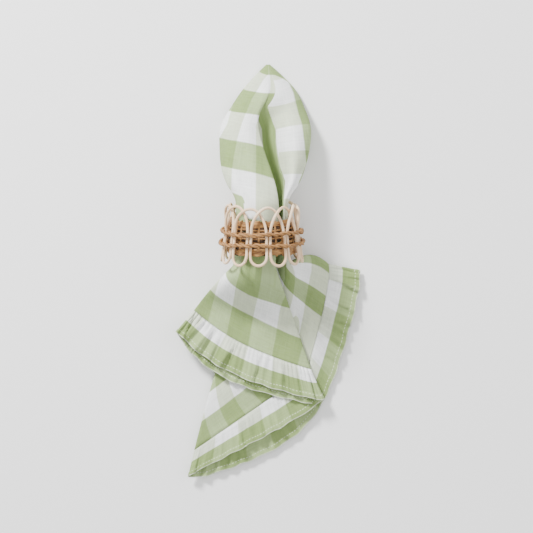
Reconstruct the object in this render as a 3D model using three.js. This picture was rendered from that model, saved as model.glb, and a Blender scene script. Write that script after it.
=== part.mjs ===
// Ruffled gingham napkin pinched at its centre and drawn through a rattan napkin ring.
// Millimetres, +Z up. The napkin lies along Y: its pinched centre is the tip at +Y,
// and its hem fans out at -Y. The ring's axis lies along Y, its skirt end on the surface.

import * as THREE from "three";

// Cloth: thickness of the folded sheet, the ruffle's width and gathers, the heights of the
// layers where they lie and where they leave the ring, and how far the cloth below is flat
const clothThick = 1.2;
const ruffleWidth = 25;
const ruffleSeamGap = 0.9;
const gatherHeight = 0.35;
const clothFloor = 0.6;
const layerStep = 2.5;
const mouthLift = 8;
const mouthLayerStep = 5;
const restFlat = 0.15;
const spreadReach = 46;
const settleLength = 42;
const neckFreeRadius = 17.5;
const neckRadius = 24;
const neckStart = 62;
const sectionSamples = 72;
const skirtStations = 6;

// Folds inside the leaf: the free fold's lip, its slack, and the heights of the hidden pleats
const foldLip = 3;
const foldSlack = { first: 1.4, second: 2, last: 2.4 };
const pleatHeights = { low: 5.2, lowEnd: 5.8, highEnd: 8.4, high: 9 };
const pleatInset = 1;
const crestDrop = 0.5;

// Ring: centre, tilt, and the flare from its leaf end to its skirt end
const ringCentre = new THREE.Vector3(-4.1, 30.3, 35.25);
const ringTiltDeg = 7.5;
const loopCount = 12;
const rodThick = 2.4;
const leafEndAxial = 22.5;
const skirtEndAxial = -21.3;
const leafEndRadius = 25.4;
const skirtEndRadius = 31.2;
const risingStrokeOut = 2.3;
const fallingStrokeIn = 0.8;
const archSpringAxial = 2;
const bendSpringAxial = -14;
const rodSides = 6;
const rodStepsPerLoop = 24;
const rodEndGap = 0.6;
const ringSegments = 36;
const legSpreadDeg = 5.8;
const firstPairDeg = 10;
const bandTopAxial = 13.3;
const bandBottomAxial = -14.8;
const bandThick = 1.6;
const bandGap = 0.3;
const cordThick = 2.4;
const cordAxials = { upper: 2.5, lower: -6 };

const clothColour = 0xa9b98a;
const ruffleColour = 0xb4c199;
const rattanColour = 0xe2cdb8;
const bandColour = 0x9a6a38;
const cordColour = 0xa8763f;

// The leaf and the neck, one row for each cross-section from the tip to the ring's mouth and
// through it. left and right are the outlines, fold is the free edge of the left lobe, tuck
// is how far that fold reaches back under the lobe, valley is the bottom of the deep crease,
// pleat is the depth of the two hidden pleats at the left, and open is 0 where the section
// is still one plain hollow fold and 1 where it holds all its layers.
const neckRows = [
  { y: 162.2, left: -2.0, right: 3.4, fold: 0.6, tuck: 0.2, valley: 0.8,
    pleat: 0.2, topL: 3.4, topR: 3.4, foldZ: 3.2, valleyZ: 2.4, floor: 0.6, open: 0 },
  { y: 154.0, left: -9.0, right: 11.2, fold: 0.5, tuck: 0.6, valley: 2.0,
    pleat: 0.6, topL: 8.4, topR: 8.2, foldZ: 8, valleyZ: 7, floor: 0.6, open: 0 },
  { y: 142.0, left: -19.6, right: 22.4, fold: -2, tuck: 2, valley: 3,
    pleat: 2, topL: 15, topR: 14.4, foldZ: 14, valleyZ: 12, floor: 0.6, open: 0 },
  { y: 128.0, left: -29.0, right: 29.4, fold: -8.6, tuck: 3, valley: 1,
    pleat: 5, topL: 23, topR: 21, foldZ: 20, valleyZ: 12, floor: 0.6, open: 0.45 },
  { y: 113.0, left: -36.9, right: 34.6, fold: -7.0, tuck: 7, valley: 1,
    pleat: 10, topL: 31, topR: 29, foldZ: 26, valleyZ: 8, floor: 0.6, open: 1 },
  { y: 98.0, left: -37.4, right: 33.8, fold: -3.4, tuck: 10, valley: 3,
    pleat: 14, topL: 38, topR: 36, foldZ: 32, valleyZ: 8, floor: 0.6, open: 1 },
  { y: 83.0, left: -36.4, right: 30.4, fold: 1.6, tuck: 13, valley: 6,
    pleat: 17, topL: 45, topR: 43, foldZ: 39, valleyZ: 10, floor: 1.5, open: 1 },
  { y: 68.0, left: -31.8, right: 24.8, fold: 6.4, tuck: 16, valley: 10,
    pleat: 20, topL: 52, topR: 50, foldZ: 46, valleyZ: 18, floor: 8, open: 1 },
  { y: 56.0, left: -25.6, right: 17.6, fold: 8.6, tuck: 19, valley: 9,
    pleat: 22, topL: 58, topR: 54, foldZ: 50, valleyZ: 26, floor: 17.5, open: 1 },
  { y: 43.0, left: -25.4, right: 17.2, fold: 9, tuck: 20, valley: 8,
    pleat: 22, topL: 57.4, topR: 50, foldZ: 48, valleyZ: 26, floor: 15.5, open: 1 },
  { y: 29.0, left: -25.6, right: 17.4, fold: 8, tuck: 20, valley: 7,
    pleat: 22, topL: 56, topR: 46, foldZ: 46, valleyZ: 25, floor: 13.5, open: 1 },
  { y: 15.0, left: -27.2, right: 19.4, fold: 7, tuck: 20, valley: 7,
    pleat: 22, topL: 54.5, topR: 42, foldZ: 43, valleyZ: 23, floor: 11.5, open: 1 },
  { y: 6.0, left: -28.5, right: 20.6, fold: 6, tuck: 18, valley: 6,
    pleat: 22, topL: 52, topR: 36, foldZ: 40, valleyZ: 19, floor: 9.5, open: 1 },
];

// The skirt's layers in the order of the folded loop, each from its first fold to its second:
// start, mid and end are places on the hem's seam, level is the height in the stack of
// layers, and out is the way in which the ruffle runs on from the seam.
const skirtLayers = [
  {
    name: "front",
    start: [-57.5, -28], mid: [-22, -54.5], end: [34, -75],
    level: [5, 5, 3.3],
    outStart: [-0.58, -0.62], outMid: [-0.36, -0.93], outEnd: [0.28, -0.96],
    bow: [2, 0, 0],
  },
  {
    name: "under",
    start: [34, -75], mid: [3, -97], end: [-57, -138.2],
    level: [2.1, 2, 2],
    outStart: [0.45, -0.9], outMid: [0.3, -0.95], outEnd: [-0.3, -0.95],
    bow: [0, 0, 4],
  },
  {
    name: "side",
    start: [-57, -138.2], mid: [30, -94], end: [47.5, 7.6],
    level: [1, 1, 1],
    outStart: [-0.1, -1], outMid: [0.45, -0.89], outEnd: [0.95, -0.3],
    bow: [4, 0, 2],
  },
  {
    name: "back",
    start: [47.5, 7.6], mid: [-10, -106], end: [-52, -26],
    level: [0, 0, 0],
    outStart: [0.95, -0.25], outMid: [0, -1], outEnd: [-0.6, -0.55],
    bow: [2, 0, 2],
  },
  {
    name: "inner",
    start: [-52, -26], mid: [-36, -45], end: [-9, -57],
    level: [3, 3, 3],
    outStart: [-0.6, -0.55], outMid: [-0.5, -0.86], outEnd: [-0.1, -1],
    bow: [2, 0, 0],
  },
  {
    name: "second",
    start: [-9, -57], mid: [-33, -46], end: [-57.5, -30],
    level: [4, 4, 4],
    outStart: [-0.1, -1], outMid: [-0.44, -0.9], outEnd: [-0.46, -0.74],
    bow: [0, 0, 2],
  },
];

// Places of the knots along each layer: close together at the folds, so that these stay round.
const neckSteps = [0, 0.12, 0.36, 0.64, 0.88, 1];
const skirtSteps = [0, 0.05, 0.35, 0.65, 0.95, 1];
const knotsPerLayer = skirtSteps.length;
const rowKnotsPerLayer = 4;
const mouthY = neckRows[neckRows.length - 1].y;

const mix = (a, b, t) => a + (b - a) * t;

const smooth = (t) => {
  const c = Math.min(Math.max(t, 0), 1);
  return c * c * (3 - 2 * c);
};

// A quadratic through three values at 0, one half and 1.
const through = (a, b, c, t) => {
  return a * (1 - t) * (1 - 2 * t) + 4 * b * t * (1 - t) + c * t * (2 * t - 1);
};

// Plain hollow fold of the leaf's upper part: front from left to right, then back.
function plainKnot(row, share) {
  const angle = 2 * Math.PI * share;
  const half = (row.right - row.left) / 2;
  const crest = share < 0.25 ? row.topL : row.topR;
  const top = share < 0.5 ? crest - row.floor - clothThick : clothThick;
  const middle = row.floor + clothThick;
  return [(row.left + row.right) / 2 - half * Math.cos(angle), middle + top * Math.sin(angle)];
}

// Shares of the plain fold at which the knots of the six layers lie.
function plainShare(index) {
  const layer = Math.floor(index / knotsPerLayer);
  const step = neckSteps[index % knotsPerLayer];
  const spans = [
    [0.02, 0.23],
    [0.245, 0.275],
    [0.29, 0.49],
    [0.51, 0.93],
    [0.945, 0.965],
    [0.975, 1.005],
  ];
  return mix(spans[layer][0], spans[layer][1], step);
}

// Folded section: x and z of each knot, layer by layer.
function foldedKnots(row) {
  const wide = row.fold - row.left;
  const under = row.foldZ - foldLip;
  const wall = row.right - row.valley;
  const side = mix(row.floor, row.topL, 0.55);
  const low = row.floor;
  return [
    [row.left, side],
    [row.left + 0.24 * wide, row.topL],
    [row.left + 0.72 * wide, row.topL - crestDrop],
    [row.fold, row.foldZ],
    [row.fold - 0.3, under],
    [row.fold - 0.35 * row.tuck, under - foldSlack.first],
    [row.fold - 0.7 * row.tuck, under - foldSlack.second],
    [row.fold - row.tuck, under - foldSlack.last],
    [row.fold - row.tuck, mix(row.valleyZ, under - foldSlack.last, 0.35)],
    [row.valley, row.valleyZ],
    [row.valley + 0.55 * wall, row.topR],
    [row.right, side - 2],
    [row.right - 0.6, mix(low, side, 0.35)],
    [row.right - 0.28 * wall, low],
    [row.left + 0.4 * wide, low],
    [row.left + 1, mix(low, side, 0.28)],
    [row.left + 2.6, mix(low, side, 0.36)],
    [row.left + 0.4 * row.pleat + 2, low + pleatHeights.low],
    [row.left + 0.8 * row.pleat + pleatInset, low + pleatHeights.low],
    [row.left + row.pleat + pleatInset, low + pleatHeights.lowEnd],
    [row.left + row.pleat + pleatInset, low + pleatHeights.highEnd],
    [row.left + 0.8 * row.pleat + pleatInset, low + pleatHeights.high],
    [row.left + 0.4 * row.pleat + 1.6, mix(low + pleatHeights.high, side, 0.5)],
    [row.left + 1.4, side - 3],
  ];
}

// Inside the ring, a knot that lies outside the free radius is pressed inwards.
function pressedIn(x, y, z) {
  if (y > neckStart) {
    return [x, z];
  }
  const axisZ = ringCentre.z + (y - ringCentre.y) * Math.tan(THREE.MathUtils.degToRad(ringTiltDeg));
  const radius = Math.hypot(x - ringCentre.x, z - axisZ);
  const spare = neckRadius - neckFreeRadius;
  const past = Math.max(radius - neckFreeRadius, 0);
  const pressed = Math.min(radius, neckFreeRadius) + spare * (1 - Math.exp(-past / spare));
  const scale = pressed / radius;
  return [ringCentre.x + (x - ringCentre.x) * scale, axisZ + (z - axisZ) * scale];
}

// The folded section's place for one knot, between the row's own knots of that layer.
function foldedPlace(folded, index) {
  const first = Math.floor(index / knotsPerLayer) * rowKnotsPerLayer;
  const along = neckSteps[index % knotsPerLayer] * (rowKnotsPerLayer - 1);
  const base = Math.min(Math.floor(along), rowKnotsPerLayer - 2);
  const [x0, z0] = folded[first + base];
  const [x1, z1] = folded[first + base + 1];
  return [mix(x0, x1, along - base), mix(z0, z1, along - base)];
}

function neckKnots(row) {
  const folded = foldedKnots(row);
  return Array.from({ length: knotsPerLayer * skirtLayers.length }, (_, index) => {
    const [foldedX, foldedZ] = foldedPlace(folded, index);
    const [plainX, plainZ] = plainKnot(row, plainShare(index));
    const openX = mix(plainX, foldedX, row.open);
    const openZ = mix(plainZ, foldedZ, row.open);
    const [x, z] = pressedIn(openX, row.y, openZ);
    return new THREE.Vector3(x, row.y, z);
  });
}

// Height of a layer in the skirt, by its level and its distance from the ring's mouth.
function skirtHeight(level, x, y) {
  const reach = Math.hypot(x - ringCentre.x, y - mouthY);
  const near = 1 - smooth(reach / spreadReach);
  return clothFloor + mouthLift * near + level * (layerStep + mouthLayerStep * near);
}

function layerPlace(layer, step) {
  const x = through(layer.start[0], layer.mid[0], layer.end[0], step);
  const y = through(layer.start[1], layer.mid[1], layer.end[1], step);
  return [x, y];
}

// One knot of the skirt: share is 0 at the ring's mouth, 1 at the hem and more on the ruffle.
function skirtKnot(mouth, index, share) {
  const layer = skirtLayers[Math.floor(index / knotsPerLayer)];
  const step = skirtSteps[index % knotsPerLayer];
  const [hx, hy] = layerPlace(layer, step);
  const level = through(layer.level[0], layer.level[1], layer.level[2], step);
  const run = Math.min(share, 1);
  const past = Math.max(share - 1, 0);
  const ox = through(layer.outStart[0], layer.outMid[0], layer.outEnd[0], step);
  const oy = through(layer.outStart[1], layer.outMid[1], layer.outEnd[1], step);
  const bow = 4 * run * (1 - run) * through(layer.bow[0], layer.bow[1], layer.bow[2], step);
  const x = mix(mouth.x, hx, run) + ox * past;
  const y = mix(mouth.y, hy, run) + oy * past + bow;
  const blend = smooth(Math.hypot(x - mouth.x, y - mouth.y) / settleLength);
  const z = mix(mouth.z, skirtHeight(level, x, y), blend);
  return new THREE.Vector3(x, y, z);
}

// A closed smooth section: a uniform cubic B-spline over the knots.
function sectionPoints(knots, count) {
  const points = [];
  for (let i = 0; i < count; i += 1) {
    const place = (i / count) * knots.length;
    const base = Math.floor(place);
    const t = place - base;
    const weights = [
      (1 - t) ** 3 / 6,
      (3 * t ** 3 - 6 * t ** 2 + 4) / 6,
      (-3 * t ** 3 + 3 * t ** 2 + 3 * t + 1) / 6,
      t ** 3 / 6,
    ];
    const point = new THREE.Vector3();
    weights.forEach((weight, k) => {
      point.addScaledVector(knots[(base + k - 1 + knots.length) % knots.length], weight);
    });
    points.push(point);
  }
  return points;
}

// Normals of a grid of stations, each a closed section, pointing out of the folded bag.
function gridNormals(grid) {
  return grid.map((section, i) =>
    section.map((_, j) => {
      const before = section[(j - 1 + section.length) % section.length];
      const after = section[(j + 1) % section.length];
      const up = grid[Math.max(i - 1, 0)][j];
      const down = grid[Math.min(i + 1, grid.length - 1)][j];
      const along = new THREE.Vector3().subVectors(after, before);
      const outward = new THREE.Vector3().subVectors(down, up);
      return along.cross(outward).normalize().negate();
    }),
  );
}

function offsetGrid(grid, normals, distance) {
  return grid.map((section, i) =>
    section.map((point, j) => point.clone().addScaledVector(normals[i][j], distance)),
  );
}

// A closed shell from an outer and an inner grid, with a rim at each open end or a cap at the tip.
function shellGeometry(outer, inner, closedTip) {
  const positions = [];
  const index = [];
  const around = outer[0].length;
  const addGrid = (grid) => {
    const first = positions.length / 3;
    grid.flat().forEach((p) => positions.push(p.x, p.y, p.z));
    return first;
  };
  const quad = (a, b, c, d) => index.push(a, b, c, a, c, d);
  const addFaces = (first, rows, flip) => {
    for (let i = 0; i < rows - 1; i += 1) {
      for (let j = 0; j < around; j += 1) {
        const next = (j + 1) % around;
        const a = first + i * around + j;
        const b = first + i * around + next;
        const c = first + (i + 1) * around + next;
        const d = first + (i + 1) * around + j;
        if (flip) {
          quad(a, b, c, d);
        } else {
          quad(a, d, c, b);
        }
      }
    }
  };
  const outerFirst = addGrid(outer);
  const innerFirst = addGrid(inner);
  addFaces(outerFirst, outer.length, false);
  addFaces(innerFirst, inner.length, true);
  const outerLast = outerFirst + (outer.length - 1) * around;
  const innerLast = innerFirst + (inner.length - 1) * around;
  for (let j = 0; j < around; j += 1) {
    const next = (j + 1) % around;
    quad(outerLast + j, innerLast + j, innerLast + next, outerLast + next);
    if (!closedTip) {
      quad(outerFirst + j, outerFirst + next, innerFirst + next, innerFirst + j);
    }
  }
  if (closedTip) {
    const addCap = (first, flip) => {
      const centre = new THREE.Vector3();
      for (let j = 0; j < around; j += 1) {
        centre.add(new THREE.Vector3().fromArray(positions, 3 * (first + j)));
      }
      centre.divideScalar(around);
      const middle = positions.length / 3;
      positions.push(centre.x, centre.y, centre.z);
      for (let j = 0; j < around; j += 1) {
        const next = (j + 1) % around;
        index.push(...(flip ? [middle, next + first, j + first] : [middle, j + first, next + first]));
      }
    };
    addCap(outerFirst, false);
    addCap(innerFirst, true);
  }
  const geometry = new THREE.BufferGeometry();
  geometry.setAttribute("position", new THREE.Float32BufferAttribute(positions, 3));
  geometry.setIndex(index);
  return geometry;
}

function clothMesh(name, geometry, colour) {
  const material = new THREE.MeshStandardMaterial({ color: colour, roughness: 0.9, metalness: 0 });
  const mesh = new THREE.Mesh(geometry, material);
  mesh.name = name;
  return mesh;
}

const mouthKnots = neckKnots(neckRows[neckRows.length - 1]);

// The panel: leaf, neck and skirt as one folded sheet, closed at the tip and open at the hem.
function makePanel() {
  const grid = neckRows.map((row) => sectionPoints(neckKnots(row), sectionSamples));
  for (let i = 1; i <= skirtStations; i += 1) {
    const share = i / skirtStations;
    const knots = mouthKnots.map((mouth, index) => skirtKnot(mouth, index, share));
    grid.push(sectionPoints(knots, sectionSamples));
  }
  const normals = gridNormals(grid);
  const outer = offsetGrid(grid, normals, clothThick / 2);
  outer.flat().forEach((point) => {
    point.z = point.z < restFlat ? 0 : point.z;
  });
  const inner = offsetGrid(grid, normals, -clothThick / 2).slice(1);
  return clothMesh("napkin_panel", shellGeometry(outer, inner, true), clothColour);
}

function withMidpoints(points) {
  return points.flatMap((point, i) => {
    const next = points[(i + 1) % points.length];
    return [point, new THREE.Vector3().lerpVectors(point, next, 0.5)];
  });
}

// The ruffle: a gathered strip sewn on all round the hem, following its folds.
function makeRuffle() {
  const pasts = [ruffleSeamGap, ruffleWidth * 0.5, ruffleWidth];
  const grid = pasts.map((past, row) => {
    const knots = mouthKnots.map((mouth, index) => skirtKnot(mouth, index, 1 + past));
    return withMidpoints(sectionPoints(knots, sectionSamples)).map((point, j) => {
      const wave = j % 2 === 0 ? 1 : -1;
      const lift = Math.min(Math.max(point.z - clothFloor, 0), 1);
      return point.add(new THREE.Vector3(0, 0, (gatherHeight * wave * lift * row) / 2));
    });
  });
  const normals = gridNormals(grid);
  const outer = offsetGrid(grid, normals, clothThick / 2);
  const inner = offsetGrid(grid, normals, -clothThick / 2);
  return clothMesh("napkin_ruffle", shellGeometry(outer, inner, false), ruffleColour);
}

// Radius of the rod's centre line at a place along the ring's axis: the ring flares
// towards its skirt end.
const legRadius = (axial) => {
  const along = (axial - skirtEndAxial) / (leafEndAxial - skirtEndAxial);
  return mix(skirtEndRadius, leafEndRadius, along);
};

// Place on the ring, by the angle from its top towards +X.
function ringPlace(degrees, axial, out) {
  const angle = THREE.MathUtils.degToRad(degrees);
  const radius = legRadius(axial) + out;
  return new THREE.Vector3(radius * Math.sin(angle), axial, radius * Math.cos(angle));
}

// One loop of the rod: up a leg, over a pointed arch two pitches wide, down a leg, and back one pitch.
function rodLoop(loop) {
  const pitch = 360 / loopCount;
  const up = firstPairDeg + pitch * loop + legSpreadDeg / 2;
  const down = firstPairDeg + pitch * (loop + 2) - legSpreadDeg / 2;
  const next = firstPairDeg + pitch * (loop + 1) + legSpreadDeg / 2;
  const points = [ringPlace(up, mix(bendSpringAxial, archSpringAxial, 0.5), 0)];
  const archSteps = 9;
  for (let i = 0; i <= archSteps; i += 1) {
    const turn = (Math.PI * i) / archSteps;
    const axial = mix(archSpringAxial, leafEndAxial, Math.sin(turn));
    const lean = Math.sin(2 * turn);
    const out = lean * (lean > 0 ? risingStrokeOut : fallingStrokeIn);
    points.push(ringPlace(mix(up, down, (1 - Math.cos(turn)) / 2), axial, out));
  }
  points.push(ringPlace(down, mix(bendSpringAxial, archSpringAxial, 0.5), 0));
  const bendSteps = 5;
  for (let i = 0; i <= bendSteps; i += 1) {
    const turn = (Math.PI * i) / bendSteps;
    const axial = mix(bendSpringAxial, skirtEndAxial, Math.sin(turn));
    points.push(ringPlace(mix(down, next, (1 - Math.cos(turn)) / 2), axial, 0));
  }
  return points;
}

function polygonShape(radius, sides) {
  const corners = Array.from({ length: sides }, (_, i) => {
    const angle = (2 * Math.PI * i) / sides;
    return new THREE.Vector2(radius * Math.cos(angle), radius * Math.sin(angle));
  });
  return new THREE.Shape(corners);
}

// The rattan rod: one length bent into all the loops, its two ends butted under a cord.
function makeRod() {
  const points = [];
  for (let loop = 0; loop < loopCount; loop += 1) {
    points.push(...rodLoop(loop));
  }
  const firstPoint = points[0].clone();
  const butt = new THREE.Vector3(0, rodEndGap, 0);
  points.push(firstPoint.sub(butt));
  const path = new THREE.CatmullRomCurve3(points);
  const geometry = new THREE.ExtrudeGeometry(polygonShape(rodThick / 2, rodSides), {
    steps: loopCount * rodStepsPerLoop,
    bevelEnabled: false,
    extrudePath: path,
  });
  const material = new THREE.MeshStandardMaterial({ color: rattanColour, roughness: 0.6, metalness: 0 });
  const mesh = new THREE.Mesh(geometry, material);
  mesh.name = "rattan_rod";
  return mesh;
}

// The woven band: a flared sleeve just inside the legs.
function makeBand() {
  const inset = rodThick / 2 + fallingStrokeIn + bandGap;
  const corner = (axial, depth) => new THREE.Vector2(legRadius(axial) - inset - depth, axial);
  const profile = [
    corner(bandBottomAxial, 0),
    corner(bandTopAxial, 0),
    corner(bandTopAxial, bandThick),
    corner(bandBottomAxial, bandThick),
    corner(bandBottomAxial, 0),
  ];
  const geometry = new THREE.LatheGeometry(profile, ringSegments);
  const material = new THREE.MeshStandardMaterial({ color: bandColour, roughness: 0.8, metalness: 0 });
  const mesh = new THREE.Mesh(geometry, material);
  mesh.name = "woven_band";
  return mesh;
}

// A twined cord: a ring of its outer form round the legs.
function makeCord(place) {
  const axial = cordAxials[place];
  const radius = legRadius(axial) + rodThick / 2 + bandGap + cordThick / 2;
  const geometry = new THREE.TorusGeometry(radius, cordThick / 2, rodSides, ringSegments);
  geometry.rotateX(Math.PI / 2);
  geometry.translate(0, axial, 0);
  const material = new THREE.MeshStandardMaterial({ color: cordColour, roughness: 0.8, metalness: 0 });
  const mesh = new THREE.Mesh(geometry, material);
  mesh.name = `twined_cord_${place}`;
  return mesh;
}

function makeRing() {
  const ring = new THREE.Group();
  ring.add(makeRod());
  ring.add(makeBand());
  Object.keys(cordAxials).forEach((place) => ring.add(makeCord(place)));
  ring.position.copy(ringCentre);
  ring.rotation.x = THREE.MathUtils.degToRad(ringTiltDeg);
  return ring;
}

const part = new THREE.Group();
part.add(makePanel());
part.add(makeRuffle());
part.add(makeRing());

export default part;
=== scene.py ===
# Ruffled gingham napkin drawn through a rattan napkin ring.
# Places and sizes are in millimetres until a mesh is made.
import math

import bpy
import numpy as np
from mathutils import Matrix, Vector


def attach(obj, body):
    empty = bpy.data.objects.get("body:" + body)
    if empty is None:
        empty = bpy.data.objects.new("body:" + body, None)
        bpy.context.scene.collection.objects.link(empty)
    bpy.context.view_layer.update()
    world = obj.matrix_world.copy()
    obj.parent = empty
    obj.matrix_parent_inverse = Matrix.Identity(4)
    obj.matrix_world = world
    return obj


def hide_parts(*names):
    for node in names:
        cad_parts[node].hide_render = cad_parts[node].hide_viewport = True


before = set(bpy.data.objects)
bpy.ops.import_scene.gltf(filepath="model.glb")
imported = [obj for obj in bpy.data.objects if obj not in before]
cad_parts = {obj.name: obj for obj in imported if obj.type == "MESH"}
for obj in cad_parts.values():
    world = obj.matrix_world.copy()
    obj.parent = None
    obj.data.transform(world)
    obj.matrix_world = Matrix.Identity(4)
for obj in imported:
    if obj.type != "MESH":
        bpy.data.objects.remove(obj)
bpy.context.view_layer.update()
mm = 0.001

cloth = {
    "flatSide": 450.0,  # the square cut of the napkin, without its ruffle
    "stripes": 21,  # checks from hem to hem
    "thick": 0.5,
    "floor": 0.35,
    "layerStep": 2.5,  # height from one named layer of the skirt to the next
    "nearLift": 8.0,  # how far the cloth stands up at the ring's mouth
    "nearStep": 5.0,
    "spreadReach": 46.0,
    "settleLength": 42.0,
    "ruffleDroop": 24.0,  # distance from the seam over which the free ruffle sinks
    "hiddenLayers": 8,  # pleats between the side flap and the back
    "hiddenStep": 0.6,
    "neckFreeRadius": 17.5,
    "neckRadius": 24.0,
    "neckOver": (68.0, 12.0),  # where a change begins, and the length over which it grows
    "shiftOver": (60.0, 50.0),
    "leafStations": 78,
    "tipPower": 1.25,  # how much closer the stations lie towards the tip
    "tipRoom": 14.0,  # stations at the tip over which waves and creases grow
    "skirtStations": 42,
    "visibleSamples": 7,  # samples for each knot of the section
    "hiddenSamples": 3,
    "smoothPasses": 4,
    "waveHeight": 0.168,
    "leafWaves": 0.4,  # share of that height above wavesOver
    "wavesOver": (4.0, 20.0),
}

# One row for each cross-section from the tip to the ring's mouth: the two outlines, the free
# fold of the left lobe, how far that fold tucks back, the valley, the hidden pleats' depth,
# the tops of both lobes, the fold's and the valley's height, the underside, and how far the
# folds have opened.
rowColumns = ["y", "left", "right", "fold", "tuck", "valley", "pleat",
              "topL", "topR", "foldZ", "valleyZ", "floor", "open"]
neckRows = [
    [162.2, -0.7, 1.9, 0.6, 0.2, 0.8, 0.2, 2.4, 2.4, 2.2, 1.6, 0.6, 0],
    [154, -9, 11.2, 0.5, 0.6, 2, 0.6, 8.4, 8.2, 8, 7, 0.6, 0],
    [142, -19.6, 22.4, -2, 2, 3, 2, 15, 14.4, 14, 12, 0.6, 0],
    [128, -29, 29.4, -8.6, 3, 1, 5, 23, 21, 20, 12, 0.6, 0.45],
    [113, -36.9, 34.6, -7, 7, 1, 10, 31, 29, 26, 8, 0.6, 1],
    [98, -37.4, 33.8, -3.4, 10, 3, 14, 38, 36, 32, 8, 0.6, 1],
    [83, -36.4, 30.4, 1.6, 13, 6, 17, 45, 43, 39, 10, 1.5, 1],
    [68, -31.8, 24.8, 6.4, 16, 10, 20, 52, 50, 46, 18, 8, 1],
    [56, -25.6, 17.6, 8.6, 19, 9, 22, 58, 54, 50, 26, 17.5, 1],
    [43, -25.4, 17.2, 9, 20, 8, 22, 57.4, 50, 48, 26, 15.5, 1],
    [29, -25.6, 17.4, 8, 20, 7, 22, 56, 46, 46, 25, 13.5, 1],
    [15, -27.2, 19.4, 7, 20, 7, 22, 54.5, 42, 43, 23, 11.5, 1],
    [6, -28.5, 20.6, 6, 18, 6, 22, 52, 36, 40, 19, 9.5, 1],
]

# The skirt's layers in the order of the folded loop. seam has three places on the hem, level
# is the height in the stack, out is the way the ruffle runs on, bow bends the way to the
# hem, and leaf and hem say which place on the square's edge lies there, in checks from its
# upper middle. droop is how much of its height the free ruffle loses, reach scales the
# ruffle's width, and nudge moves single knots of the seam.
skirtLayers = [
    {"name": "front", "seam": ((-57.5, -28), (-22, -54.5), (34, -75)),
     "level": (5.2, 5.2, 4.5), "out": ((-0.58, -0.62), (-0.36, -0.93), (0.28, -0.96)),
     "bow": (2, 0, 0), "leaf": (-0.6, 1.8, 4.0), "hem": (-2.4, 0.15, 3.0)},
    {"name": "under", "seam": ((34, -75), (3, -97), (-57, -138.2)),
     "level": (3.0, 2.9, 2.9), "out": ((0.45, -0.9), (0.3, -0.95), (-0.3, -0.95)),
     "bow": (0, 0, 9), "leaf": (4.0, 7.0, 10.5), "hem": (3.0, 6.0, 10.5),
     "reach": (1, 1, 0.86)},
    {"name": "side", "seam": ((-57, -138.2), (30, -94), (47.5, 7.6)),
     "level": (2.1, 2.1, 2.1), "out": ((-0.1, -1), (0.55, -0.84), (0.99, -0.14)),
     "bow": (9, 0, 8), "leaf": (10.5, 18.0, 21.2), "hem": (10.5, 15.7, 20.85),
     "droop": 0.55, "reach": (0.86, 1.08, 1), "nudge": {2: (12.0, 8.0), 3: (-5.0, 16.0)}},
    {"name": "back", "seam": ((47, 6.6), (2, -88), (-48, -24)),
     "level": (0, 0, 0), "out": ((0.95, -0.25), (0, -1), (-0.6, -0.55)),
     "bow": (7, 0, 2), "leaf": (66.5, 70.2, 73.8)},
    {"name": "inner", "seam": ((-48, -24), (-24, -56), (30, -78)),
     "level": (3.7, 3.6, 3.4), "out": ((-0.6, -0.55), (-0.4, -0.9), (0.2, -0.95)),
     "bow": (2, 0, 0), "leaf": (73.8, 75.8, 77.8)},
    {"name": "second", "seam": ((30, -78), (-20, -62), (-56.5, -33)),
     "level": (3.8, 4.3, 4.4), "out": ((0.2, -0.95), (-0.44, -0.9), (-0.38, -0.84)),
     "bow": (0, 0, 2), "leaf": (77.8, 80.4, 83.4), "hem": (77.8, 79.8, 81.8)},
]

# Turns of the hidden pleats, right and left, and the middle of each run between them
hidden = {
    "right": [(47.5, 7.6), (45.5, 4.5), (44.0, 3.0), (45.0, 4.0), (47.0, 6.6)],
    "left": [(-49.0, -26.0), (-47.5, -25.0), (-46.0, -24.0), (-48.0, -25.0)],
    "middle": (2.0, -90.0),
    "out": ((0.95, -0.28), (0.0, -1.0), (-0.6, -0.55)),
    "bow": (7, 0, 2),
    "checks": (20.85, 66.5),
    "droop": 0.85,
}

neckSteps = [0, 0.12, 0.36, 0.64, 0.88, 1]
skirtSteps = [0, 0.05, 0.35, 0.65, 0.95, 1]
# Shares of the plain fold near the tip at which each named layer begins and ends
plainSpans = {"front": (0.02, 0.23), "under": (0.245, 0.275), "side": (0.29, 0.49),
              "hidden": (0.492, 0.508), "back": (0.51, 0.93), "inner": (0.945, 0.965),
              "second": (0.975, 1.005)}


def mix(a, b, t):
    return a + (b - a) * t


def smooth(t):
    c = np.clip(t, 0, 1)
    return c * c * (3 - 2 * c)


def below(value, span):
    # grows from 0 at the span's start to 1 where its length below that is run
    start, length = span
    return smooth((start - value) / length)


def through(three, t):
    # the quadratic through three values at 0, one half and 1
    a, b, c = three
    return a * (1 - t) * (1 - 2 * t) + 4 * b * t * (1 - t) + c * t * (2 * t - 1)


def hiddenLayer(run):
    # the hidden pleats in the order of the loop: odd runs go from right to left
    count = cloth["hiddenLayers"]
    way = 1 if run % 2 else -1
    turns = (hidden["right"][run // 2], hidden["middle"], hidden["left"][(run - 1) // 2])
    checks = [mix(*hidden["checks"], (run - 1 + part) / count) for part in (0, 0.5, 1)]
    level = skirtLayers[2]["level"][0] * (count + 1 - run) / (count + 1)
    return {"name": "hidden", "run": run, "seam": turns[::way], "level": (level, level, level),
            "out": hidden["out"][::way], "bow": hidden["bow"][::way],
            "leaf": checks, "droop": hidden["droop"]}


hiddenRuns = [hiddenLayer(run + 1) for run in range(cloth["hiddenLayers"])]
layers = skirtLayers[:3] + hiddenRuns + skirtLayers[3:]
knotCount = len(neckSteps) * len(layers)
ringPlaceMm = (-4.1, 30.3, 35.25)
ringTilt = math.radians(7.5)


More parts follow.
